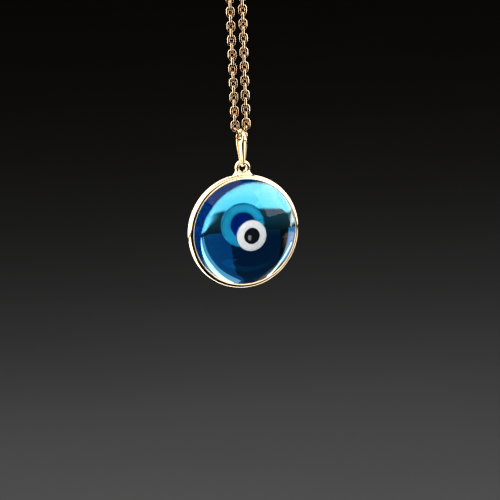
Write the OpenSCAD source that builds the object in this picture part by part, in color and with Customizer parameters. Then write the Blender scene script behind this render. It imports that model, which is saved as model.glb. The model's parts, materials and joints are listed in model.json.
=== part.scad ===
// Evil eye pendant on a fine cable chain, with the clasp that the chain ends in.
// Origin: where the ring of the clasp hangs on its support. +Z up, the eye faces -Y.

/* [Pendant] */
// Outer diameter of the gold rim
rim_d = 14; // [13.5:0.1:14.5]
// Depth of the rim, front to back
rim_depth = 1.3; // [1.2:0.05:1.5]
// How far the glass stands out in front of the middle of the rim
front_h = 3.4; // [3.2:0.05:3.5]
// How far the glass stands out behind the middle of the rim
back_h = 1.5; // [1.3:0.05:1.7]
// Radius at which the front dome turns into the bevel
shoulder_r = 5.35; // [5.2:0.05:5.5]
// How far that shoulder stands out in front of the middle of the rim
shoulder_h = 1.8; // [1.7:0.05:1.9]
// Diameter of the white of the eye
white_d = 3.8; // [3:0.1:4.2]
// Diameter of the pupil
pupil_d = 1.95; // [1.5:0.05:2.2]
// Diameter of the turquoise spot at the back
halo_d = 4.6; // [4:0.1:5]
// Diameter of the blue spot in the turquoise one
iris_d = 2.6; // [2:0.1:2.8]
// How far above the middle those two spots sit
back_up = 0.6; // [0:0.1:0.7]
// Thickness of the coloured spots
spot_t = 0.4; // [0.3:0.05:0.5]

/* [Hanging] */
// Turn of the pendant and bail about the vertical, in degrees
twist = 18.3; // [0:0.1:20]
// Nod of the pendant, face down, in degrees
nod = 5.5; // [0:0.1:8]
// How far behind the middle of the rim the lug sits
lug_back = 0.15; // [0:0.05:0.3]

/* [Bail] */
// Height of the bail
bail_h = 4.58; // [4.5:0.02:4.8]
// Width of the bail, front to back
bail_w = 2.4; // [2.3:0.05:2.5]
// Width of its strip at the top
bail_top_strip = 0.28; // [0.24:0.02:0.32]
// Width of its strip at the widest
bail_mid_strip = 0.74; // [0.6:0.02:0.8]
// Width of its strip in the lug
bail_low_strip = 0.32; // [0.28:0.02:0.36]

/* [Chain] */
// Diameter of the chain's wire
wire_d = 0.28; // [0.27:0.01:0.29]
// Length of chain that one link adds
pitch = 0.86; // [0.86:0.01:0.9]
// Outer width of a link
link_w = 1; // [0.98:0.01:1.02]
// Links in each strand
link_count = 20; // [20:2:20]
// Half of the gap between the strands' centre lines at the top
top_half_gap = 0.75; // [0.74:0.01:0.78]
// Half of the gap between the strands' centre lines at the bottom
low_half_gap = 0.68; // [0.66:0.01:0.7]
// How much higher the right strand's links lie
right_lift = 0.23; // [0.2:0.01:0.24]

/* [Clasp] */
// Radius of the clasp ring's centre line
clasp_r = 2; // [2:0.05:2.1]
// Diameter of the clasp ring's tube
tube_d = 1.3; // [1.25:0.05:1.3]
// Wall of the tube
tube_wall = 0.22; // [0.2:0.01:0.24]

/* [Hidden] */

gold = [0.93, 0.72, 0.42];
big = 20;
play = 0.01;
wire_r = wire_d / 2;

// clasp, from the support down; ring angles are counted from +X towards +Z
clasp_z = -(clasp_r - tube_d / 2);
bore_d = tube_d - 2 * tube_wall;
mouth_from = -10;
mouth_to = 35;
tongue_overlap = 4;
tongue_tail = 95;
knob_at = 50;
knob_travel = 45;
knob_d = 0.46;
knob_reach = 1.15;
slot_w = 0.6;
tongue_d = bore_d - 0.12;
spring_from = tongue_tail + 2;
spring_to = 200;
spring_turns = 14;
spring_wire_d = 0.1;
spring_r = 0.3;
spring_steps = 9;

eye_wire_d = 0.4;
eye_r = 0.65;
eye_sink = 0.12;
eye_out = clasp_r + tube_d / 2 + eye_r + eye_wire_d / 2 - eye_sink;
eye_turn = asin(top_half_gap / eye_out);
eye_z = clasp_z - eye_out * cos(eye_turn);

jump_wire_d = 0.35;
jump_r = 0.825;
jump_top = eye_z - eye_r + (eye_wire_d + jump_wire_d) / 2 + play;
jump_z = jump_top - jump_r;

// links: the centre line is two half circles joined by straight sides
bend_r = (link_w - wire_d) / 2;
half_span = (pitch + wire_d + play) / 2;
straight = half_span - bend_r;
first_link_z = jump_z - jump_r + (jump_wire_d + wire_d) / 2 + play - half_span;
last_front = link_count - 1;
last_front_z = first_link_z - (last_front - 1) * pitch;

end_wire_d = 0.45;
end_play = 0.06;
end_turn = asin(top_half_gap / clasp_r);
end_top = clasp_z - clasp_r * cos(end_turn) + tube_d / 2 / cos(end_turn)
    + end_wire_d / 2 + end_play;
end_low = first_link_z + right_lift + half_span - (end_wire_d + wire_d) / 2 - play;
end_r = (end_top - end_low) / 2;
end_z = (end_top + end_low) / 2;

// the two slanting links at the foot of the strands, and the link that they cradle
left_foot_x = -0.175;
right_foot_x = 0.355;
left_hook = hook_point(-low_half_gap, last_front_z, 1, 22);
right_hook = hook_point(low_half_gap, last_front_z + right_lift, -1, 13);
left_foot = foot_point(left_hook, left_foot_x);
right_foot = foot_point(right_hook, right_foot_x);
cradle_x = (left_foot_x + right_foot_x) / 2;
cradle_drop = 0.03;
cradle_z = (left_foot[1] + right_foot[1]) / 2 - cradle_drop;
cradle_tilt = atan2(right_foot[1] - left_foot[1], right_foot[0] - left_foot[0]);

// bail, resting on the cradled link
bail_x = 0.04;
bail_top_t = 0.36;
bail_low_t = 0.3;
bail_side_t = 0.34;
bail_low_r = 0.7;
bail_in_low_r = 0.42;
lug_play = 0.05;
bail_rest_z = cradle_z + link_w / 2 / cos(cradle_tilt) + play;
bail_top_z = bail_rest_z + bail_top_t;
bail_low_z = bail_top_z - bail_h;
bail_foot_z = bail_low_z + bail_low_t / 2;

// pendant, in its own frame: the middle of the rim is the origin
rim_r = rim_d / 2;
seat_r = rim_r - 0.36;
lens_r = seat_r - 0.02;
lip_r = seat_r - 0.19;
// half thickness of the glass at its edge
half_edge = 0.43;
bevel_run = (lens_r - shoulder_r) / (shoulder_h - half_edge);
front_r = dome_radius(shoulder_r, front_h - shoulder_h);
back_r = dome_radius(lens_r, back_h - half_edge);
front_c = front_r - front_h;
back_c = back_h - back_r;
lug_r = 0.93;
lug_hole_r = 0.47;
lug_t = 0.6;
lug_sink = 0.13;
lug_edge = 0.12;
foot_w = 2.7;
foot_t = 1.16;
foot_sink = 0.1;
neck_w = 1.4;
neck_rise = 0.3;
lug_z = rim_r + lug_r - lug_sink;
pivot = [0, lug_back, lug_z + lug_hole_r - bail_low_t / 2 - lug_play];

function link_name(side, k) = str(side, "_link_", k < 10 ? "0" : "", k);
function dome_radius(r, h) = (r * r + h * h) / (2 * h);
function gap_at(k) = top_half_gap + (low_half_gap - top_half_gap) * (k - 1) / (last_front - 1);
// where the top wire of a slanting link lies in the bend of the link that holds it
function hook_point(x, z, towards, lean) =
    let (inner = bend_r - wire_d - play)
    [x + towards * inner * sin(lean), z - straight - inner * cos(lean)];
// the link's other end wire, under a given x
function foot_point(hook, x) =
    [x, hook[1] - sqrt(pow(2 * half_span, 2) - pow(hook[0] - x, 2))];

// part of a ring in the XZ plane: a profile swept between two ring angles
module ring_arc(r, from, to) {
    rotate([90, 0, 0]) rotate([0, 0, from])
        rotate_extrude(angle = to - from, $fn = 96) translate([r, 0]) children();
}

module ring_wire(r, d) {
    rotate([90, 0, 0]) rotate_extrude($fn = 72) translate([r, 0]) circle(d = d, $fn = 32);
}

// a link in the XZ plane, its length along Z
module link() {
    for (end = [0, 1]) mirror([0, 0, end]) translate([0, 0, straight])
        rotate([90, 0, 0]) rotate_extrude(angle = 180, $fn = 72)
            translate([bend_r, 0]) circle(r = wire_r, $fn = 32);
    for (side = [-1, 1]) translate([side * bend_r, 0, -straight])
        cylinder(r = wire_r, h = 2 * straight, $fn = 32);
}

// a link between the centres of its two end wires, given as [x, z], seen edge on
module slanting_link(top, foot) {
    lean = atan2(top[0] - foot[0], top[1] - foot[1]);
    translate([(top[0] + foot[0]) / 2, 0, (top[1] + foot[1]) / 2])
        rotate([0, lean, 0]) rotate([0, 0, 90]) link();
}

module strand_link(side, k) {
    lift = side > 0 ? right_lift : 0;
    color(gold)
    if (k == link_count) {
        if (side < 0) slanting_link(left_hook, left_foot);
        else slanting_link(right_hook, right_foot);
    } else {
        translate([side * gap_at(k), 0, first_link_z + lift - (k - 1) * pitch])
            rotate([0, 0, k % 2 == 1 ? 0 : 90]) link();
    }
}

module cradle_link() {
    color(gold) translate([cradle_x, 0, cradle_z])
        rotate([0, 90 - cradle_tilt, 0]) link();
}

module clasp_ring() {
    color(gold) translate([0, 0, clasp_z]) difference() {
        ring_arc(clasp_r, mouth_to, mouth_from + 360) circle(d = tube_d, $fn = 48);
        ring_arc(clasp_r, mouth_to - 1, spring_to) circle(d = bore_d, $fn = 48);
        ring_arc(clasp_r, mouth_from + 354, mouth_from + 361) circle(d = bore_d, $fn = 48);
        ring_arc(clasp_r, knob_at - 10, knob_at + knob_travel + 10)
            translate([0, -slot_w / 2]) square([tube_d, slot_w]);
    }
}

module clasp_eye() {
    color(gold) difference() {
        translate([-top_half_gap, 0, eye_z]) ring_wire(eye_r, eye_wire_d);
        translate([0, 0, clasp_z]) ring_wire(clasp_r, tube_d);
    }
}

module clasp_trigger() {
    color(gold) translate([0, 0, clasp_z]) {
        ring_arc(clasp_r, mouth_from - tongue_overlap, tongue_tail)
            circle(d = tongue_d, $fn = 48);
        rotate([0, -knob_at, 0]) translate([clasp_r, 0, 0]) rotate([0, 90, 0]) {
            cylinder(d = knob_d, h = knob_reach, $fn = 32);
            translate([0, 0, knob_reach]) sphere(d = 0.66, $fn = 48);
        }
    }
}

module clasp_spring() {
    rings = spring_turns * spring_steps;
    sides = 6;
    points = [
        for (i = [0:rings]) let (
            a = spring_from + (spring_to - 3 - spring_from) * i / rings,
            turn = 360 * i / spring_steps)
        for (s = [0:sides - 1]) let (
            u = 360 * s / sides,
            r = spring_r + spring_wire_d / 2 * cos(u),
            out = clasp_r + r * cos(turn),
            b = a + spring_wire_d / 2 * sin(u) / clasp_r * 180 / PI)
        [out * cos(b), r * sin(turn), clasp_z + out * sin(b)]];
    sides_faces = [
        for (i = [0:rings - 1]) for (s = [0:sides - 1]) let (
            p = i * sides + s, q = i * sides + (s + 1) % sides)
        [p, q, q + sides, p + sides]];
    first = [for (s = [0:sides - 1]) sides - 1 - s];
    last = [for (s = [0:sides - 1]) rings * sides + s];
    color("silver") polyhedron(points, concat(sides_faces, [first, last]));
}

module jump_ring() {
    color(gold) translate([-top_half_gap, 0, jump_z])
        rotate([0, 0, 90]) ring_wire(jump_r, jump_wire_d);
}

module end_ring() {
    color(gold) translate([top_half_gap, 0, end_z])
        rotate([0, 0, 90]) ring_wire(end_r, end_wire_d);
}

// two circles and the band that wraps them, in the bail's own plane
module drop(top_z, low_z, top_r, low_r) {
    hull() {
        translate([0, top_z - top_r]) circle(r = top_r, $fn = 64);
        translate([0, low_z + low_r]) circle(r = low_r, $fn = 64);
    }
}

// the bail's outline seen from the front: a narrow top, a wide middle, a thin foot
module bail_taper() {
    mid_z = bail_top_z - bail_h * 0.4;
    hull() {
        translate([-bail_top_strip / 2, bail_top_z]) square([bail_top_strip, play]);
        translate([0, mid_z]) circle(d = bail_mid_strip, $fn = 32);
    }
    hull() {
        translate([0, mid_z]) circle(d = bail_mid_strip, $fn = 32);
        translate([-bail_low_strip / 2, bail_low_z - play]) square([bail_low_strip, 0.6]);
    }
}

module bail() {
    color(gold) translate([bail_x, 0, 0]) rotate([0, 0, twist]) intersection() {
        rotate([90, 0, 90]) linear_extrude(2, center = true) difference() {
            drop(bail_top_z, bail_low_z, bail_w / 2, bail_low_r);
            drop(bail_rest_z, bail_low_z + bail_low_t, bail_w / 2 - bail_side_t,
                bail_in_low_r);
        }
        rotate([90, 0, 0]) linear_extrude(4, center = true) bail_taper();
    }
}

// places the pendant's own frame under the foot of the bail
module hang() {
    translate([bail_x, 0, bail_foot_z]) rotate([nod, 0, twist]) translate(-pivot)
        children();
}

// a round bar along the pendant's front-to-back axis
module along_y(r, from, to) {
    translate([0, from, 0]) rotate([-90, 0, 0]) cylinder(r = r, h = to - from, $fn = 128);
}

module domes() {
    intersection() {
        along_y(lens_r, -big / 2, big / 2);
        translate([0, -front_h, 0]) rotate([-90, 0, 0])
            cylinder(r1 = lens_r - (front_h - half_edge) * bevel_run,
                r2 = lens_r + (back_h + half_edge) * bevel_run, h = front_h + back_h, $fn = 160);
        translate([0, front_c, 0]) sphere(r = front_r, $fn = 160);
        translate([0, back_c, 0]) sphere(r = back_r, $fn = 200);
    }
}

// the skin of the front dome inside a radius
module front_spot(r) {
    intersection() {
        domes();
        difference() {
            along_y(r, -big / 2, 0);
            translate([0, front_c, 0]) sphere(r = front_r - spot_t, $fn = 160);
        }
    }
}

// the skin of the back dome inside a radius
module back_spot(r) {
    intersection() {
        domes();
        difference() {
            translate([0, 0, back_up]) along_y(r, 0, big / 2);
            translate([0, back_c, 0]) sphere(r = back_r - spot_t, $fn = 200);
        }
    }
}

module lens() {
    color([0.1, 0.5, 0.8, 0.6]) hang() difference() {
        domes();
        front_spot(white_d / 2);
        back_spot(halo_d / 2);
    }
}

module eye_white() {
    color("white") hang() difference() {
        front_spot(white_d / 2);
        along_y(pupil_d / 2, -big / 2, 0);
    }
}

module pupil() {
    color([0.02, 0.02, 0.03]) hang() front_spot(pupil_d / 2);
}

module back_halo() {
    color("turquoise") hang() difference() {
        back_spot(halo_d / 2);
        translate([0, 0, back_up]) along_y(iris_d / 2, 0, big / 2);
    }
}

module back_iris() {
    color([0.05, 0.25, 0.6]) hang() back_spot(iris_d / 2);
}

// a band with a chamfered outside; its seat holds the glass between two lips
module rim() {
    half = rim_depth / 2;
    chamfer = 0.15;
    wall = half - 0.2;
    front_lip = 0.12;
    back_lip = 0.02;
    slope = 0.07;
    color(gold) hang() rotate([90, 0, 0]) rotate_extrude($fn = 160) polygon([
        [lip_r, half], [rim_r - chamfer, half], [rim_r, wall], [rim_r, -wall],
        [rim_r - chamfer, -half], [lip_r, -half], [lip_r, front_lip - half],
        [seat_r, front_lip + slope - half], [seat_r, half_edge], [lip_r, half - back_lip]]);
}

// the ring that the bail goes through
module lug_ring() {
    half = lug_t / 2;
    translate([0, lug_back, lug_z]) rotate([90, 0, 0]) rotate_extrude($fn = 72) polygon([
        [lug_hole_r, lug_edge - half], [lug_hole_r + lug_edge, -half],
        [lug_r - lug_edge, -half], [lug_r, lug_edge - half],
        [lug_r, half - lug_edge], [lug_r - lug_edge, half],
        [lug_hole_r + lug_edge, half], [lug_hole_r, half - lug_edge]]);
}

// the foot that flares from the ring to the depth of the rim
module lug_foot() {
    hull() {
        translate([-foot_w / 2, -foot_t / 2, rim_r - 2 * foot_sink])
            cube([foot_w, foot_t, foot_sink]);
        translate([-neck_w / 2, lug_back - lug_t / 2, rim_r + neck_rise - foot_sink])
            cube([neck_w, lug_t, foot_sink]);
    }
}

module lug() {
    color(gold) hang() difference() {
        union() {
            lug_ring();
            difference() {
                lug_foot();
                translate([0, 0, lug_z]) along_y(lug_hole_r + lug_edge, -big / 2, big / 2);
            }
        }
        along_y(rim_r, -big / 2, big / 2);
    }
}

lens();
eye_white();
pupil();
back_halo();
back_iris();
rim();
lug();
bail();
cradle_link();
jump_ring();
end_ring();
clasp_ring();
clasp_eye();
clasp_trigger();
clasp_spring();
for (k = [1:link_count]) {
    strand_link(-1, k);
    strand_link(1, k);
}
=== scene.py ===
"""Evil eye pendant on a fine gold chain: the looks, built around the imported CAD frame."""

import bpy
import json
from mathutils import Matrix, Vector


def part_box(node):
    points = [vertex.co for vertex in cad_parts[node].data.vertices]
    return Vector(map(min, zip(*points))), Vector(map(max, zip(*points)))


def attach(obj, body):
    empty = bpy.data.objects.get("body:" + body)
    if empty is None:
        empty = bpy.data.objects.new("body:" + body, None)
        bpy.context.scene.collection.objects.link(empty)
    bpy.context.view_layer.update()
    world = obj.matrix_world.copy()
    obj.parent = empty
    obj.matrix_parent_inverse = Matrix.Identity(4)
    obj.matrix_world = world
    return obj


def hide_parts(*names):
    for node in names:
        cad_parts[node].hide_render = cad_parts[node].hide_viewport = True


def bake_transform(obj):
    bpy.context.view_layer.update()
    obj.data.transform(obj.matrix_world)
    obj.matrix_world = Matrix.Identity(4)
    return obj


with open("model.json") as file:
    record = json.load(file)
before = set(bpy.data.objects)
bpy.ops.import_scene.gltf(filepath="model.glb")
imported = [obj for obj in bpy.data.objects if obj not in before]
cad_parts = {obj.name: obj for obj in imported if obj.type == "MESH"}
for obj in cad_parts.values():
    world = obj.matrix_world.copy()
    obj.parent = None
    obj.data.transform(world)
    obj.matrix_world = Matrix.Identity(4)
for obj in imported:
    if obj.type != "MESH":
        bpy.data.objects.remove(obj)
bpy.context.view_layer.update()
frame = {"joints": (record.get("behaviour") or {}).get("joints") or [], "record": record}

import json
import math
import random
from collections import namedtuple

import bmesh
import bpy
from mathutils import Matrix, Vector

MM = 0.001
TAU = 2 * math.pi
X, Y, Z = Vector((1, 0, 0)), Vector((0, 1, 0)), Vector((0, 0, 1))
Box = namedtuple("Box", "lo hi centre size")
rng = random.Random(7)

# the pieces that each set of lights falls on
lit_pieces = {"metal": [], "chain": [], "glass": [], "enamel": []}
LIT_AS = {"gold": "metal", "spring_steel": "metal", "blue_glass": "glass"}


# ---------------------------------------------------------------- helpers

def mm_box(cad_node):
    """The box of a CAD node at rest, in millimetres."""
    lo, hi = (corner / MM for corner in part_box(cad_node))
    return Box(lo, hi, (lo + hi) / 2, hi - lo)


def joint(name):
    """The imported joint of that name."""
    return next(j for j in frame["joints"] if j["name"] == name)


def bell(x, width):
    """A smooth bump of height 1 at x = 0."""
    return math.exp(-(x / width) ** 2)


def smoothstep(low, high, x):
    """Rises smoothly from 0 at low to 1 at high."""
    t = min(1.0, max(0.0, (x - low) / (high - low)))
    return t * t * (3 - 2 * t)


def oval(u, power):
    """A point on a superellipse of half sizes 1, at angle u."""
    c, s = math.cos(u), math.sin(u)
    return (math.copysign(abs(c) ** (2 / power), c), math.copysign(abs(s) ** (2 / power), s))


def piece(name, points, faces, material, body, nodes, slot, sharp=40):
    """A mesh piece from points in millimetres. It rides on a body and stands for CAD nodes."""
    mesh = bpy.data.meshes.new(name)
    mesh.from_pydata([p * MM for p in points], [], faces)
    mesh.validate()
    work = bmesh.new()
    work.from_mesh(mesh)
    bmesh.ops.remove_doubles(work, verts=work.verts, dist=1e-8)
    bmesh.ops.recalc_face_normals(work, faces=work.faces)
    work.to_mesh(mesh)
    work.free()
    mesh.polygons.foreach_set("use_smooth", [True] * len(mesh.polygons))
    mesh.set_sharp_from_angle(angle=math.radians(sharp))
    mesh.materials.append(material)
    obj = bpy.data.objects.new(name, mesh)
    bpy.context.scene.collection.objects.link(obj)
    if body:
        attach(obj, body)
    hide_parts(*nodes)
    kind = "chain" if material == CHAIN_GOLD else LIT_AS.get(slot, "enamel")
    lit_pieces[kind].append(obj)
    return obj


def skin(rings, close_rings=True, close_ends=False, cap=False):
    """Points and faces of a surface through rings of equal length.

    close_ends joins the last ring to the first, and cap fills the two end rings.
    """
    count, sides = len(rings), len(rings[0])
    points = [p for ring in rings for p in ring]
    faces = []
    for i in range(count if close_ends else count - 1):
        j = (i + 1) % count
        for s in range(sides if close_rings else sides - 1):
            t = (s + 1) % sides
            faces.append((i * sides + s, i * sides + t, j * sides + t, j * sides + s))
    if cap:
        faces.append(tuple(range(sides))[::-1])
        faces.append(tuple((count - 1) * sides + s for s in range(sides)))
    return points, faces


def lathe(profile, steps, place, shape=None, closed=False):
    """Turns a profile of (radius, along) about the pendant's front-to-back axis.

    shape(angle, radius, along, index) may move each point of the profile. Angle 0 is the top.
    """
    rings = []
    for i in range(steps):
        a = TAU * i / steps
        ring = []
        for k, (r, y) in enumerate(profile):
            if shape:
                r, y = shape(a, r, y, k)
            ring.append(place @ Vector((r * math.sin(a), y, r * math.cos(a))))
        rings.append(ring)
    return skin(rings, close_rings=closed, close_ends=True)


# ---------------------------------------------------------------- materials

GLASS_IOR = 1.52


def new_material(name):
    """A material, its node tree and its Principled shader."""
    material = bpy.data.materials.new(name)
    material.use_nodes = True
    tree = material.node_tree
    return material, tree, tree.nodes["Principled BSDF"]


def node(tree, kind, inputs=None):
    """A new node. An input is a plain value or the socket that feeds it."""
    added = tree.nodes.new(kind)
    for key, value in (inputs or {}).items():
        if isinstance(value, bpy.types.NodeSocket):
            tree.links.new(value, added.inputs[key])
        else:
            added.inputs[key].default_value = value
    return added


def noise(tree, scale, detail=3.0, stretch=(1, 1, 1), roughness=0.5):
    """Noise in object space; scale is features per millimetre."""
    where = node(tree, "ShaderNodeTexCoord").outputs["Object"]
    mapped = node(tree, "ShaderNodeMapping", {"Vector": where, "Scale": stretch})
    return node(tree, "ShaderNodeTexNoise", {
        "Vector": mapped.outputs["Vector"], "Scale": scale / MM, "Detail": detail,
        "Roughness": roughness}).outputs["Fac"]


def two_tone(tree, value, low, high, low_at=0.3, high_at=0.7):
    """A colour that runs from low to high as the value goes from low_at to high_at."""
    added = node(tree, "ShaderNodeValToRGB", {"Fac": value})
    ends = added.color_ramp.elements
    ends[0].position, ends[0].color = low_at, (*low, 1)
    ends[1].position, ends[1].color = high_at, (*high, 1)
    return added.outputs["Color"]


def between(tree, value, low, high):
    """Spreads the middle of a noise over a range of values."""
    return node(tree, "ShaderNodeMapRange", {
        "Value": value, "From Min": 0.3, "From Max": 0.7, "To Min": low, "To Max": high,
    }).outputs["Result"]


def add_bump(tree, shader, layers):
    """Stacks bump layers of (height, distance in millimetres)."""
    normal = None
    for height, distance in layers:
        inputs = {"Height": height, "Distance": distance * MM, "Strength": 1.0}
        if normal:
            inputs["Normal"] = normal
        normal = node(tree, "ShaderNodeBump", inputs).outputs["Normal"]
    tree.links.new(normal, shader.inputs["Normal"])


def gold_material(name, light, deep, low_rough, high_rough, brushed=(1, 1, 1)):
    """Polished gold with cloudy tint and polish, faint dents and fine wipe marks."""
    material, tree, shader = new_material(name)
    shader.inputs["Metallic"].default_value = 1.0
    tint = noise(tree, 1.3, 4.0)
    tree.links.new(two_tone(tree, tint, deep, light), shader.inputs["Base Color"])
    polish = noise(tree, 6.0, 5.0, brushed)
    tree.links.new(between(tree, polish, low_rough, high_rough), shader.inputs["Roughness"])
    add_bump(tree, shader, [(noise(tree, 2.2, 2.0), 0.003),
                            (noise(tree, 14.0, 4.0, brushed), 0.0003)])
    return material


def glass_material(name, color, density):
    """Clear glass coloured in its depth, with the faint ripple of fire-polished glass."""
    material, tree, shader = new_material(name)
    shader.inputs["Base Color"].default_value = (1, 1, 1, 1)
    shader.inputs["Transmission Weight"].default_value = 1.0
    shader.inputs["IOR"].default_value = GLASS_IOR
    shader.inputs["Specular IOR Level"].default_value = 0.5
    smear = noise(tree, 1.6, 3.0, (1, 1, 0.35))
    tree.links.new(between(tree, smear, 0.0, 0.025), shader.inputs["Roughness"])
    add_bump(tree, shader, [(noise(tree, 0.45, 1.0), 0.012),
                            (noise(tree, 2.5, 3.0, (1, 1, 0.4)), 0.0008)])
    depth = node(tree, "ShaderNodeVolumeAbsorption", {"Color": (*color, 1), "Density": density})
    tree.links.new(depth.outputs["Volume"], tree.nodes["Material Output"].inputs["Volume"])
    return material


def enamel_material(name, dark, light, rough, depth):
    """Opaque fused glass: a little marbled, glossy, with a fine orange-peel surface.

    depth is how far light travels in it, in millimetres, or zero.
    """
    material, tree, shader = new_material(name)
    marble = noise(tree, 2.5, 4.0)
    tree.links.new(two_tone(tree, marble, dark, light, high_at=0.68), shader.inputs["Base Color"])
    shader.inputs["IOR"].default_value = GLASS_IOR
    if depth:
        shader.inputs["Subsurface Weight"].default_value = 1.0
        shader.inputs["Subsurface Radius"].default_value = light
        shader.inputs["Subsurface Scale"].default_value = depth * MM
    tree.links.new(between(tree, noise(tree, 7.0), rough, rough + 0.08),
                   shader.inputs["Roughness"])
    add_bump(tree, shader, [(noise(tree, 1.8, 2.0), 0.0015), (noise(tree, 9.0, 3.0), 0.0003)])
    return material


def steel_material():
    """Bright drawn spring wire."""
    material, tree, shader = new_material("spring_steel")
    shader.inputs["Metallic"].default_value = 1.0
    tint = two_tone(tree, noise(tree, 5.0), (0.42, 0.42, 0.44), (0.62, 0.62, 0.64))
    tree.links.new(tint, shader.inputs["Base Color"])
    tree.links.new(between(tree, noise(tree, 12.0), 0.18, 0.32), shader.inputs["Roughness"])
    add_bump(tree, shader, [(noise(tree, 20.0), 0.001)])
    return material


GOLD = gold_material("gold", (1.0, 0.79, 0.50), (0.96, 0.70, 0.40), 0.06, 0.16)
CHAIN_GOLD = gold_material("gold_chain", (0.95, 0.68, 0.40), (0.88, 0.56, 0.29), 0.08, 0.18,
                           (1, 1, 0.3))
GLASS = glass_material("blue_glass", (0.0, 0.77, 0.95), 650.0)
WHITE = enamel_material("white_glass", (0.80, 0.85, 0.91), (0.91, 0.94, 0.97), 0.12, 0.25)
BLACK = enamel_material("black_glass", (0.002, 0.003, 0.005), (0.008, 0.010, 0.014), 0.03, 0.0)
TURQUOISE = enamel_material("turquoise_glass", (0.50, 0.90, 0.95), (0.66, 0.96, 0.99), 0.15, 1.2)
COBALT = enamel_material("cobalt_glass", (0.03, 0.38, 0.62), (0.06, 0.50, 0.82), 0.12, 0.5)
STEEL = steel_material()


# ---------------------------------------------------------------- chain

WIRE_D = 0.28
HALF_SPAN = 0.575                   # from the link's middle to the middle of the wire at its end
LINK_W = 1.0
LINK_STATIONS = 64
WELD_STATIONS = (0.01, 0.02, 0.035, 0.06, 0.09)         # extra rings either side of the weld
WELD_WIDTH, SEAM_WIDTH, SEAM_DEPTH = 0.07, 0.007, 0.06


def link_path(bend, straight, weld_at):
    """Centre line of a link: (along, across, outward along, outward across, distance to weld)."""
    arc = math.pi * bend
    total = 2 * arc + 4 * straight
    stations = [total * i / LINK_STATIONS for i in range(LINK_STATIONS)]
    offsets = [-d for d in reversed(WELD_STATIONS)] + [0.0, *WELD_STATIONS]
    stations += [weld_at * total + d for d in offsets]
    path = []
    for s in sorted(v % total for v in stations):
        away = (s - weld_at * total + total / 2) % total - total / 2
        if path and s - path[-1][5] < 1e-4:
            continue
        if s < arc:
            a = s / bend
            path.append((straight + bend * math.sin(a), bend * math.cos(a),
                         math.sin(a), math.cos(a), away, s))
        elif s < arc + 2 * straight:
            path.append((straight - (s - arc), -bend, 0.0, -1.0, away, s))
        elif s < 2 * arc + 2 * straight:
            a = math.pi + (s - arc - 2 * straight) / bend
            path.append((-straight + bend * math.sin(a), bend * math.cos(a),
                         math.sin(a), math.cos(a), away, s))
        else:
            path.append((-straight + (s - 2 * arc - 2 * straight), bend, 0.0, 1.0, away, s))
    return path


def wire_loop(name, centre, long_axis, cross_axis, bend, straight, wire_r, body, nodes,
              material, weld_at, section=20):
    """A closed loop of round wire with its butt joint: a slight swelling and a fine seam."""
    normal = long_axis.cross(cross_axis)
    rings = []
    for along, across, n_along, n_across, away, _ in link_path(bend, straight, weld_at):
        middle = centre + long_axis * along + cross_axis * across
        out = long_axis * n_along + cross_axis * n_across
        r = wire_r * (0.98 + 0.02 * bell(away, WELD_WIDTH) - SEAM_DEPTH * bell(away, SEAM_WIDTH))
        ring = []
        for k in range(section):
            c, s = oval(TAU * k / section, 2.0)
            ring.append(middle + out * (r * c) + normal * (r * s))
        rings.append(ring)
    points, faces = skin(rings, close_ends=True)
    return piece(name, points, faces, material, body, nodes, "gold")


bend_r = (LINK_W - WIRE_D) / 2
link_straight = HALF_SPAN - bend_r
groups = frame["record"]["behaviour"]["bodies"]
for body_name in sorted(groups):
    if not body_name.startswith("links_"):
        continue
    for cad_node in sorted(groups[body_name]):
        box = mm_box(cad_node)
        side = -1 if cad_node.startswith("left") else 1
        if box.size.x > box.size.y:
            lean, across = 0.0, X
        else:
            lean = side * math.asin(max(0.0, box.size.x - WIRE_D) / (2 * HALF_SPAN))
            across = Y
        up = Vector((math.sin(lean), 0, math.cos(lean)))
        wire_loop("wire_" + cad_node, box.centre, up, across, bend_r, link_straight, WIRE_D / 2,
                  body_name, [cad_node], CHAIN_GOLD, rng.choice((0.43, 0.93)))

tilt_axis = Vector(joint("cradle_roll")["axis"])
wire_loop("wire_cradle_link", mm_box("cradle_link").centre, tilt_axis, Y.cross(tilt_axis),
          bend_r, link_straight, WIRE_D / 2, "cradle", ["cradle_link"], CHAIN_GOLD, 0.93)


# ---------------------------------------------------------------- rings at the chain's ends

def end_loop(name, cad_node, body, wire_r, weld_at):
    """A round ring that fills its CAD node's box."""
    box = mm_box(cad_node)
    wire_loop(name, box.centre, Z, Y, box.size.z / 2 - wire_r, 0.0, wire_r, body, [cad_node],
              GOLD, weld_at, section=28)


end_loop("wire_jump_ring", "jump_ring", "left_ring", 0.175, 0.5)
end_loop("wire_end_ring", "end_ring", "right_ring", 0.225, 0.3)


# ---------------------------------------------------------------- clasp

# the ring is laid out by its angle in degrees, from +X towards +Z
TUBE_R = 0.65
TUBE_WALL = 0.2
MOUTH_FROM, MOUTH_TO = -10, 35
SLOT_FROM, SLOT_TO, SLOT_HALF = 40, 105, 0.3
TONGUE_R = 0.36
TONGUE_LAP = 4                      # how far the tongue reaches into the tube past the mouth
TONGUE_TAIL = 95
TONGUE_NOSE = 0.12
KNOB_AT = 50
SPRING_FROM, SPRING_TO = 97, 197
SPRING_TURNS, SPRING_R, SPRING_WIRE_R = 14, 0.3, 0.05
clasp_c = Vector(joint("trigger_pull")["pos_m"]) / MM
clasp_r = mm_box("clasp_ring").size.z / 2 - TUBE_R


def clasp_point(degrees, out, depth):
    """A point of the clasp: angle round the ring, distance from its centre, depth along Y."""
    a = math.radians(degrees)
    return clasp_c + Vector((out * math.cos(a), depth, out * math.sin(a)))


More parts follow.
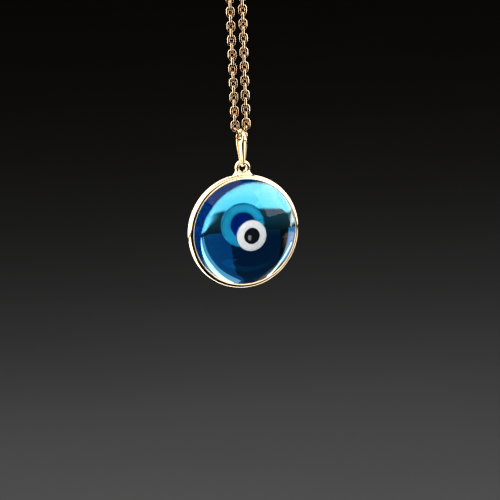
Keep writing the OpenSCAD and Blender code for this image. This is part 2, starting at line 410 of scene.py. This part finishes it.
def clasp_tube():
    """The hollow ring: a thin tube open at its mouth, with the slot that the knob slides in."""
    sides, slot_sides = 40, 4
    half = math.degrees(math.asin(SLOT_HALF / TUBE_R))
    angles = [half + (360 - 2 * half) * k / sides for k in range(sides + 1)]
    angles += [360 - half + 2 * half * k / slot_sides for k in range(1, slot_sides)]
    around = sorted(a % 360 for a in angles)
    marks = [MOUTH_TO, SLOT_FROM, SLOT_TO, MOUTH_FROM + 360]
    stations = []
    for start, stop in zip(marks, marks[1:]):
        count = max(3, round((stop - start) / 3))
        stations += [start + (stop - start) * i / count for i in range(count)]
    stations.append(marks[-1])
    rings = []
    for at in stations:
        turned_in = 0.035 * (bell(at - MOUTH_TO, 1.0) + bell(at - MOUTH_FROM - 360, 1.0))
        r = TUBE_R - turned_in
        rings.append([clasp_point(at, clasp_r + r * math.cos(math.radians(a)),
                                  r * math.sin(math.radians(a))) for a in around])
    points, faces = skin(rings)
    kept = []
    for face in faces:
        station, k = divmod(face[0], len(around))
        in_length = SLOT_FROM - 0.1 < stations[station] < SLOT_TO - 0.1
        middle = around[k] + 0.1
        in_width = middle < half or middle > 360 - half
        if not (in_length and in_width):
            kept.append(face)
    tube = piece("clasp_tube", points, kept, GOLD, "clasp", ["clasp_ring"], "gold")
    wall = tube.modifiers.new("wall", "SOLIDIFY")
    wall.thickness = TUBE_WALL * MM
    wall.offset = -1
    edges = tube.modifiers.new("edges", "BEVEL")
    edges.width = 0.03 * MM
    edges.segments = 3
    edges.limit_method = "ANGLE"
    edges.angle_limit = math.radians(50)
    return tube


clasp_tube()

loop_box = mm_box("clasp_eye")
loop_wire_r = 0.2
loop_centre = Vector((loop_box.centre.x, 0, loop_box.lo.z + loop_box.size.x / 2))
wire_loop("clasp_eye_ring", loop_centre, Z, X, loop_box.size.x / 2 - loop_wire_r, 0.0,
          loop_wire_r, "clasp", ["clasp_eye"], GOLD, 0.25, section=28)


def clasp_tongue():
    """The curved tongue of the clasp, with rounded ends, and its knob."""
    first, last, count = MOUTH_FROM - TONGUE_LAP, TONGUE_TAIL, 60
    nose = math.degrees(TONGUE_NOSE / clasp_r)
    rings = []
    for i in range(count + 1):
        at = first + (last - first) * i / count
        short = min(at - first, last - at)
        r = TONGUE_R * math.sqrt(max(0.0, 1 - (1 - min(1.0, short / nose)) ** 2) * 0.45 + 0.55)
        rings.append([clasp_point(at, clasp_r + r * math.cos(TAU * k / 32),
                                  r * math.sin(TAU * k / 32)) for k in range(32)])
    points, faces = skin(rings, cap=True)
    piece("clasp_bolt", points, faces, GOLD, "trigger", ["clasp_trigger"], "gold")

    # (radius, reach from the middle of the tube): a neck, a flange and a ribbed thumb knob
    profile = [(0.0, 0.2), (0.21, 0.2), (0.21, 0.62), (0.24, 0.68), (0.21, 0.74), (0.21, 0.86),
               (0.25, 0.9), (0.31, 0.98), (0.325, 1.06), (0.31, 1.12), (0.325, 1.18),
               (0.31, 1.26), (0.27, 1.36), (0.19, 1.43), (0.1, 1.465), (0.0, 1.475)]
    a = math.radians(KNOB_AT)
    out, turn = Vector((math.cos(a), 0, math.sin(a))), Vector((-math.sin(a), 0, math.cos(a)))
    root = clasp_point(KNOB_AT, clasp_r, 0)
    rings = [[root + out * reach + (turn * math.cos(TAU * k / 36) + Y * math.sin(TAU * k / 36)) * r
              for k in range(36)] for r, reach in profile]
    points, faces = skin(rings)
    piece("clasp_knob", points, faces, GOLD, "trigger", ["clasp_trigger"], "gold", 60)


clasp_tongue()


def clasp_coil():
    """The spring in the tube, built at rest as a fixed coil on no body. The real one closes up as the
    tongue is drawn back.
    """
    steps, sides = 24, 10
    rings = []
    for i in range(SPRING_TURNS * steps + 1):
        share = i / (SPRING_TURNS * steps)
        at = SPRING_FROM + (SPRING_TO - SPRING_FROM) * share
        turn = TAU * i / steps
        ring = []
        for k in range(sides):
            u = TAU * k / sides
            r = SPRING_R + SPRING_WIRE_R * math.cos(u)
            ring.append(clasp_point(at + math.degrees(SPRING_WIRE_R * math.sin(u) / clasp_r),
                                    clasp_r + r * math.cos(turn), r * math.sin(turn)))
        rings.append(ring)
    points, faces = skin(rings, cap=True)
    coil = piece("clasp_coil", points, faces, STEEL, None, ["clasp_spring"], "spring_steel")
    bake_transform(coil)


clasp_coil()


# ---------------------------------------------------------------- bail

sway = joint("pendant_sway")
front_axis = Vector(sway["axis"]).normalized()
twist = math.atan2(front_axis.x, -front_axis.y)
bail_side = Vector((math.cos(twist), math.sin(twist), 0))
bail_back = -front_axis


BAIL_HIGH_DROP, BAIL_HIGH_R = 1.21, 1.03        # the bend at the top, to the wire's middle
BAIL_LOW_DROP, BAIL_LOW_R = 3.87, 0.56          # the bend at the foot
BAIL_TOP_HALF, BAIL_MID_HALF, BAIL_LOW_HALF = 0.095, 0.355, 0.15
BAIL_WIDEST = 0.4                               # share of the height, from the top


def bail_stations():
    """The bail's middle line in its own plane: (back, height, direction outward)."""
    top = mm_box("bail").hi.z
    high_c, low_c = top - BAIL_HIGH_DROP, top - BAIL_LOW_DROP
    slope = math.asin((BAIL_HIGH_R - BAIL_LOW_R) / (high_c - low_c))
    bend_steps, foot_steps, leg_steps = 48, 32, 24
    stations = []
    for i in range(bend_steps + 1):
        a = -slope + (math.pi + 2 * slope) * i / bend_steps
        stations.append((math.cos(a) * BAIL_HIGH_R, high_c + math.sin(a) * BAIL_HIGH_R, a))
    for i in range(1, leg_steps):
        t = i / leg_steps
        y = stations[bend_steps][0] * (1 - t) - BAIL_LOW_R * math.cos(slope) * t
        z = stations[bend_steps][1] * (1 - t) + (low_c - math.sin(slope) * BAIL_LOW_R) * t
        stations.append((y, z, math.pi + slope))
    for i in range(foot_steps + 1):
        a = math.pi + slope + (math.pi - 2 * slope) * i / foot_steps
        stations.append((math.cos(a) * BAIL_LOW_R, low_c + math.sin(a) * BAIL_LOW_R, a))
    first, last = stations[0], stations[-1]
    for i in range(1, leg_steps):
        t = i / leg_steps
        stations.append((last[0] * (1 - t) + first[0] * t, last[1] * (1 - t) + first[1] * t,
                         TAU - slope))
    return stations


def bail_loop():
    """A tapered loop: rounded outside, flatter inside, broadest above its middle."""
    box = mm_box("bail")
    axis_at = Vector(sway["pos_m"]) / MM
    rings = []
    for y, z, a in bail_stations():
        drop = (box.hi.z - z) / (box.hi.z - box.lo.z)
        if drop < BAIL_WIDEST:
            share = math.sin(math.pi / 2 * min(1, drop / BAIL_WIDEST)) ** 2
            half_w = BAIL_TOP_HALF + (BAIL_MID_HALF - BAIL_TOP_HALF) * share
        else:
            share = smoothstep(BAIL_WIDEST, 1.0, drop) ** 0.9
            half_w = BAIL_MID_HALF - (BAIL_MID_HALF - BAIL_LOW_HALF) * share
        half_t = 0.165 - 0.025 * smoothstep(0.75, 1.0, drop)
        middle = Vector((axis_at.x, axis_at.y, 0)) + bail_back * y + Z * z
        out = bail_back * math.cos(a) + Z * math.sin(a)
        ring = []
        for k in range(32):
            u = TAU * k / 32
            c, s = oval(u, 2.3)
            thick = half_t * (s if s > 0 else 0.8 * math.copysign(abs(s) ** 0.7, s))
            ring.append(middle + bail_side * (half_w * c) + out * thick)
        rings.append(ring)
    points, faces = skin(rings, close_ends=True)
    piece("bail_loop", points, faces, GOLD, "bail", ["bail"], "gold")


bail_loop()


# ---------------------------------------------------------------- pendant

# shapes are laid out with the rim's middle at the origin, the front towards -Y
NOD = math.radians(5.5)
rim_c = mm_box("rim").centre
hang = Matrix.Translation(rim_c) @ Matrix.Rotation(twist, 4, "Z") @ Matrix.Rotation(NOD, 4, "X")

RIM_R, RIM_HALF = 7.0, 0.65                     # outside radius, and half the band's width
SEAT_R, LIP_R = 6.64, 6.45                      # where the glass sits, and the lips that hold it
LENS_R, HALF_EDGE = 6.62, 0.43
APEX, SHOULDER_R, SHOULDER_H = 3.4, 5.35, 1.8   # front dome, and where it meets the bevel
BACK_APEX = 1.5
BULGE = 0.14                                    # swell of the bevel
BACK_UP = 0.6                                   # how high the rear spots sit on the back dome
LUG_Z, LUG_BACK = 7.80, 0.15
SEAM = math.radians(-8.8)                       # where the band is closed, from the top


def cap_radius(reach, height):
    """Radius of the sphere whose cap has this reach and height."""
    return (reach ** 2 + height ** 2) / (2 * height)


top_r = cap_radius(SHOULDER_R, APEX - SHOULDER_H)
back_r = cap_radius(LENS_R, BACK_APEX - HALF_EDGE)


def front_height(r):
    """How far the glass stands in front: a dome that meets a bevel in a soft shoulder."""
    dome = APEX - top_r + math.sqrt(top_r ** 2 - r * r)
    share = (LENS_R - r) / (LENS_R - SHOULDER_R)
    bevel = HALF_EDGE + (SHOULDER_H - HALF_EDGE) * share + BULGE * max(0.0, share * (1 - share))
    blend = 0.03
    return -blend * math.log(math.exp(-dome / blend) + math.exp(-bevel / blend))


def back_height(r):
    """How far the glass stands out behind: one shallow dome."""
    return BACK_APEX - back_r + math.sqrt(back_r ** 2 - r * r)


def rim_band():
    """A half-round band rolled over the glass, soldered shut beside the lug."""
    outer = 28                      # steps of the outside of the section; the rest is the seat
    profile = []
    for k in range(outer + 1):
        a = -math.pi / 2 + math.pi * k / outer
        c, s = oval(a, 2.35)
        profile.append((LIP_R + 0.05 + (RIM_R - LIP_R - 0.05) * c, RIM_HALF * s))
    profile += [(LIP_R + 0.01, 0.645), (LIP_R, 0.63), (LIP_R, 0.53), (SEAT_R, 0.46),
                (SEAT_R, -0.43), (LIP_R, -0.63), (LIP_R + 0.01, -0.642)]

    def shape(a, r, y, k):
        around = (a + math.pi) % TAU - math.pi
        if k <= outer:
            # the slanting solder seam
            share = (r - LIP_R) / (RIM_R - LIP_R)
            groove = bell((around - SEAM - 0.134 * (share - 0.5)) * RIM_R, 0.05)
            mid_r = RIM_R - 0.25
            r = mid_r + (r - mid_r) * (1 - 0.14 * groove)
            y *= 1 - 0.09 * groove
            # the hand-rolled band isn't quite round
            wave = 0.006 * math.sin(5 * a + 1.0) + 0.004 * math.sin(11 * a)
            r -= abs(wave)
            # a fine line in the front, to the right of the lug
            line = bell(r - 6.66, 0.028) * smoothstep(0.04, 0.12, around)
            line *= 1 - smoothstep(0.62, 0.85, around)
            if y < 0:
                y += 0.045 * line
        return r, y

    points, faces = lathe(profile, 720, hang, shape, closed=True)
    piece("rim_band", points, faces, GOLD, "pendant", ["rim"], "gold", 50)


rim_band()


LUG_R, LUG_HOLE_R = 0.93, 0.47
FOOT_FILLET = 0.6                   # radius of the hollow between the ring and the band
FOOT_SINK = 0.2                     # how deep the foot reaches into the band
FOOT_REACH = 1.9                    # the furthest that the foot goes from the lug's middle
LUG_SEAM = math.radians(27)


def lug_reach(a):
    """How far the lug goes from its middle, at angle a from straight down.

    The ring's own radius, or below it the distance to the band or to the hollow fillet.
    """
    down = Vector((math.sin(a), -math.cos(a)))
    if down.y >= 0 or abs(down.x) >= 0.995:
        return LUG_R
    band, ring = RIM_R + FOOT_FILLET, LUG_R + FOOT_FILLET
    fillet_z = (band ** 2 - ring ** 2 + LUG_Z ** 2) / (2 * LUG_Z)
    fillet_x = math.sqrt(band ** 2 - fillet_z ** 2)
    side = 1 if down.x >= 0 else -1
    to_fillet = Vector((side * fillet_x, fillet_z - LUG_Z))
    along = down.dot(to_fillet)
    gap = along ** 2 - to_fillet.length_squared + FOOT_FILLET ** 2
    b = LUG_Z * math.cos(a)
    rest = b * b - (LUG_Z ** 2 - (RIM_R - FOOT_SINK) ** 2)
    bounds = [FOOT_REACH]
    if rest > 0:
        bounds.append(b - math.sqrt(rest))
    if gap > 0 and along > 0:
        bounds.append(along - math.sqrt(gap))
    return max(LUG_R, min(bounds))


def lug_ring():
    """The ring on the rim, flaring into a foot, with the seam where the wire comes round."""
    steps = 180
    rings = []
    for i in range(steps):
        a = TAU * i / steps
        down = Vector((math.sin(a), -math.cos(a)))
        reach = lug_reach(a)
        ring = []
        away = (a + math.pi) % TAU - math.pi + LUG_SEAM
        groove = bell(away * (LUG_R + LUG_HOLE_R) / 2, 0.045) if down.y < 0 else 0.0
        for k in range(40):
            c, s = oval(TAU * k / 40, 2.7)
            r = (reach + LUG_HOLE_R) / 2 + (reach - LUG_HOLE_R) / 2 * c
            x, z = down.x * r, LUG_Z + down.y * r
            # the foot is deeper where it covers the band, and thins out to its sides
            spread = 1 - smoothstep(6.8, 7.5, math.hypot(x, z))
            spread *= 1 - smoothstep(0.75, 1.35, abs(x))
            thin = 0.2 * smoothstep(0.95, 1.4, abs(x))
            front = LUG_BACK - 0.3 - 0.42 * spread + thin
            back = LUG_BACK + 0.3 + 0.15 * spread - thin
            y = (front + back) / 2 + (back - front) / 2 * s * (1 - 0.16 * groove)
            ring.append(hang @ Vector((x, y, z)))
        rings.append(ring)
    points, faces = skin(rings, close_ends=True)
    piece("lug_ring", points, faces, GOLD, "pendant", ["lug"], "gold", 60)


lug_ring()


def glass_lens():
    """The clear body of the eye: a front dome with a bevelled edge and a shallow back dome."""
    sink = 0.012                    # keeps the skin just under the spots
    front_steps, back_steps = 96, 40
    profile = [(0.0, -front_height(0) + sink)]
    reach = LENS_R - 0.02
    for k in range(1, front_steps + 1):
        r = reach * (1 - (1 - k / front_steps) ** 1.25)
        profile.append((r, -front_height(r) + sink))
    profile += [(LENS_R - 0.004, -HALF_EDGE + 0.05), (LENS_R, -HALF_EDGE + 0.1),
                (LENS_R, HALF_EDGE - 0.1), (LENS_R - 0.004, HALF_EDGE - 0.05)]
    for k in range(back_steps, 0, -1):
        r = reach * k / back_steps
        profile.append((r, back_height(r) - sink))
    profile.append((0.0, back_height(0) - sink))
    points, faces = lathe(profile, 256, hang)
    piece("glass_lens", points, faces, GLASS, "pendant", ["lens"], "blue_glass", 60)


glass_lens()


def spot(name, inner, outer, front, material, cad_node, slot, phase, up=0.0):
    """A spot fused into a dome's skin: a disc, or a ring where inner is above zero.

    phase sets where its slightly uneven outline bulges, and up moves it up the dome.
    """
    thick, steps = 0.34, 14
    height = front_height if front else back_height
    top, low = [], []
    for k in range(steps + 1):
        share = k / steps
        r = inner + (outer - inner) * share
        edge = abs(2 * share - 1) if inner else share
        top.append((r, -0.02 * edge ** 10))
        low.append((r, -thick))
    profile = top + low[::-1]

    def shape(a, r, lift, k):
        wobble = 1 + 0.006 * math.sin(2 * a + phase) + 0.004 * math.sin(3 * a + 2 * phase)
        r *= wobble
        high = height(math.hypot(r * math.sin(a), r * math.cos(a) + up)) + lift
        return r, -high if front else high

    place = hang @ Matrix.Translation((0, 0, up))
    points, faces = lathe(profile, 128, place, shape, closed=inner > 0)
    return piece(name, points, faces, material, "pendant", [cad_node], slot, 50)


spot("eye_white_ring", 0.96, 1.9, True, WHITE, "eye_white", "white_glass", 0.4)
spot("eye_pupil", 0.0, 0.975, True, BLACK, "pupil", "black_glass", 1.3)
spot("back_halo_ring", 1.28, 2.3, False, TURQUOISE, "back_halo", "turquoise_glass", 2.1,
     up=BACK_UP)
spot("back_iris_disc", 0.0, 1.3, False, COBALT, "back_iris", "cobalt_glass", 0.9, up=BACK_UP)


# ---------------------------------------------------------------- stage, light and camera

FLOOR_Z = -0.110


def stage_floor():
    """A plain pale matt floor."""
    material, tree, shader = new_material("stage_floor")
    tint = two_tone(tree, noise(tree, 0.01, 2.0), (0.60, 0.585, 0.59), (0.66, 0.645, 0.65))
    tree.links.new(tint, shader.inputs["Base Color"])
    shader.inputs["Roughness"].default_value = 0.9
    shader.inputs["Specular IOR Level"].default_value = 0.1
    mesh = bpy.data.meshes.new("stage_floor")
    reach = 3.0
    mesh.from_pydata([(-reach, -reach, FLOOR_Z), (reach, -reach, FLOOR_Z),
                      (reach, reach, FLOOR_Z), (-reach, reach, FLOOR_Z)], [], [(0, 1, 2, 3)])
    mesh.materials.append(material)
    floor = bpy.data.objects.new("stage_floor", mesh)
    bpy.context.scene.collection.objects.link(floor)


stage_floor()


def aim(obj, at, target):
    """Puts a light at a place and turns it to look at another."""
    obj.location = at
    obj.rotation_euler = (Vector(target) - Vector(at)).to_track_quat("-Z", "Y").to_euler()


eye = rim_c * MM
lit = {}
for kind, pieces in lit_pieces.items():
    lit[kind] = bpy.data.collections.new("lit_" + kind)
    for obj in pieces:
        lit[kind].objects.link(obj)


def softbox(name, kind, azimuth, elevation, distance, size, radiance, color=(1, 1, 1), roll=0):
    """A soft light round the eye that falls on one kind of piece only, and that stays out of sight.

    Azimuth is 0 on the camera's side and 90 at +X. Distance and size are in metres, angles in degrees.
    """
    data = bpy.data.lights.new(name, "AREA")
    data.shape = "RECTANGLE"
    data.size, data.size_y = size
    data.energy = radiance * math.pi * size[0] * size[1]
    data.color = color
    light = bpy.data.objects.new(name, data)
    bpy.context.scene.collection.objects.link(light)
    az, el = math.radians(azimuth), math.radians(elevation)
    toward = Vector((math.sin(az) * math.cos(el), -math.cos(az) * math.cos(el), math.sin(el)))
    aim(light, eye + toward * distance, eye)
    light.rotation_euler.rotate_axis("Z", math.radians(roll))
    light.visible_camera = False
    light.light_linking.receiver_collection = lit[kind]


WARM, COOL = (1.0, 0.96, 0.89), (0.96, 0.98, 1.0)
SKY, DEEP_BLUE, BLUE = (0.88, 0.93, 1.0), (0.10, 0.42, 1.0), (0.20, 0.55, 1.0)
softbox("metal_left", "metal", -88, 20, 0.50, (1.20, 0.80), 2.7, WARM)
softbox("metal_back_left", "metal", -145, 20, 0.50, (0.50, 0.80), 2.7, WARM)
softbox("metal_low_left", "metal", -110, -40, 0.10, (0.17, 0.10), 2.6, WARM)
softbox("metal_low_back", "metal", 172, -42, 0.10, (0.14, 0.08), 1.6, WARM)
softbox("metal_right", "metal", 105, 20, 0.50, (1.10, 0.80), 2.7)
softbox("metal_front_right", "metal", 42, 0, 0.45, (0.34, 0.36), 2.4)
softbox("metal_low_right", "metal", 46, -30, 0.12, (0.07, 0.06), 1.6)
softbox("metal_top", "metal", 10, 70, 0.50, (0.60, 0.50), 1.6)
softbox("chain_left", "chain", -116, 10, 0.50, (0.54, 0.90), 5.2, SKY)
softbox("chain_right", "chain", 113, 10, 0.50, (0.54, 0.90), 5.2, SKY)
softbox("chain_top", "chain", 20, 55, 0.50, (0.25, 0.25), 1.4)
softbox("enamel_front", "enamel", -16, 30, 0.50, (0.60, 0.50), 4.7)
softbox("enamel_window", "enamel", 33, -19, 0.12, (0.009, 0.014), 5.0)
softbox("enamel_back", "enamel", 172, -6, 0.30, (0.30, 0.30), 11.0)
softbox("glass_back_right", "glass", 140, 17, 0.50, (0.06, 0.52), 4.0, COOL, -32)
softbox("glass_back_left", "glass", -146, 22, 0.50, (0.014, 0.34), 6.0, WARM, 32)
softbox("glass_glow_left", "glass", 142, 20, 0.50, (0.20, 0.52), 0.5, COOL, -32)
softbox("glass_glow_low", "glass", 150, 14, 0.48, (0.36, 0.50), 0.14, DEEP_BLUE)
softbox("glass_glow_dim", "glass", 168, 14, 0.46, (0.60, 0.50), 0.035, DEEP_BLUE)
softbox("glass_glow_right", "glass", -140, 4, 0.50, (0.20, 0.36), 0.5, BLUE)
softbox("glass_right", "glass", 85, 28, 0.50, (0.45, 0.40), 1.6, COOL)
softbox("glass_high", "glass", 10, 62, 0.60, (1.00, 0.40), 0.7, COOL)
softbox("glass_window", "glass", 52, 26, 0.50, (0.10, 0.03), 2.0, COOL, 20)


def floor_light(name, at, energy, angle, blend, size, toward, stretch=1.0):
    """A lamp that looks at a point of the floor. The glass gathers the lit pools."""
    data = bpy.data.lights.new(name, "SPOT")
    data.energy = energy
    data.spot_size = math.radians(angle)
    data.spot_blend = blend
    data.shadow_soft_size = size
    lamp = bpy.data.objects.new(name, data)
    bpy.context.scene.collection.objects.link(lamp)
    aim(lamp, at, (*toward, FLOOR_Z))
    lamp.scale = (stretch, 1, 1)


floor_light("floor_pool", (-0.01, 0.13, 0.30), 16.0, 23, 0.3, 0.008, (-0.01, 0.13), 1.5)
floor_light("floor_pool_left", (-0.30, 0.20, 0.35), 22.0, 40, 0.7, 0.02, (-0.30, 0.12))
floor_light("floor_pool_right", (0.20, 0.20, 0.35), 24.0, 36, 0.5, 0.02, (0.22, 0.16))
floor_light("floor_wash", (0.0, 0.16, 0.20), 0.52, 130, 0.6, 0.05, (0, 0.40))


def studio_world():
    """An almost black room."""
    world = bpy.data.worlds.new("studio")
    bpy.context.scene.world = world
    world.use_nodes = True
    background = world.node_tree.nodes["Background"]
    background.inputs["Color"].default_value = (0.0033, 0.0030, 0.0024, 1)
    background.inputs["Strength"].default_value = 1.0
    bpy.context.scene.view_settings.view_transform = "Standard"


studio_world()

DISTANCE = 0.5
VIEW_WIDTH = 0.0607                 # what the picture takes in at the pendant's distance
ELEVATION = math.radians(6.5)
ROLL = math.radians(2.1)
EYE_LEFT, EYE_ABOVE = 0.821, 2.333  # the eye's place from the middle of the picture, in millimetres
SENSOR_WIDTH = 36.0


def studio_camera():
    """A long lens that looks slightly down on the pendant."""
    forward = Vector((0, math.cos(ELEVATION), -math.sin(ELEVATION)))
    level_up = Vector((0, math.sin(ELEVATION), math.cos(ELEVATION)))
    right = X * math.cos(ROLL) - level_up * math.sin(ROLL)
    upward = X * math.sin(ROLL) + level_up * math.cos(ROLL)
    target = eye + (right * EYE_LEFT - upward * EYE_ABOVE) * MM
    data = bpy.data.cameras.new("camera")
    data.sensor_width = SENSOR_WIDTH
    data.lens = SENSOR_WIDTH * DISTANCE / VIEW_WIDTH
    data.clip_start, data.clip_end = 0.01, 10.0
    camera = bpy.data.objects.new("camera", data)
    bpy.context.scene.collection.objects.link(camera)
    turn = Matrix((right, upward, -forward)).transposed().to_4x4()
    camera.matrix_world = Matrix.Translation(target - forward * DISTANCE) @ turn
    bpy.context.scene.camera = camera


studio_camera()
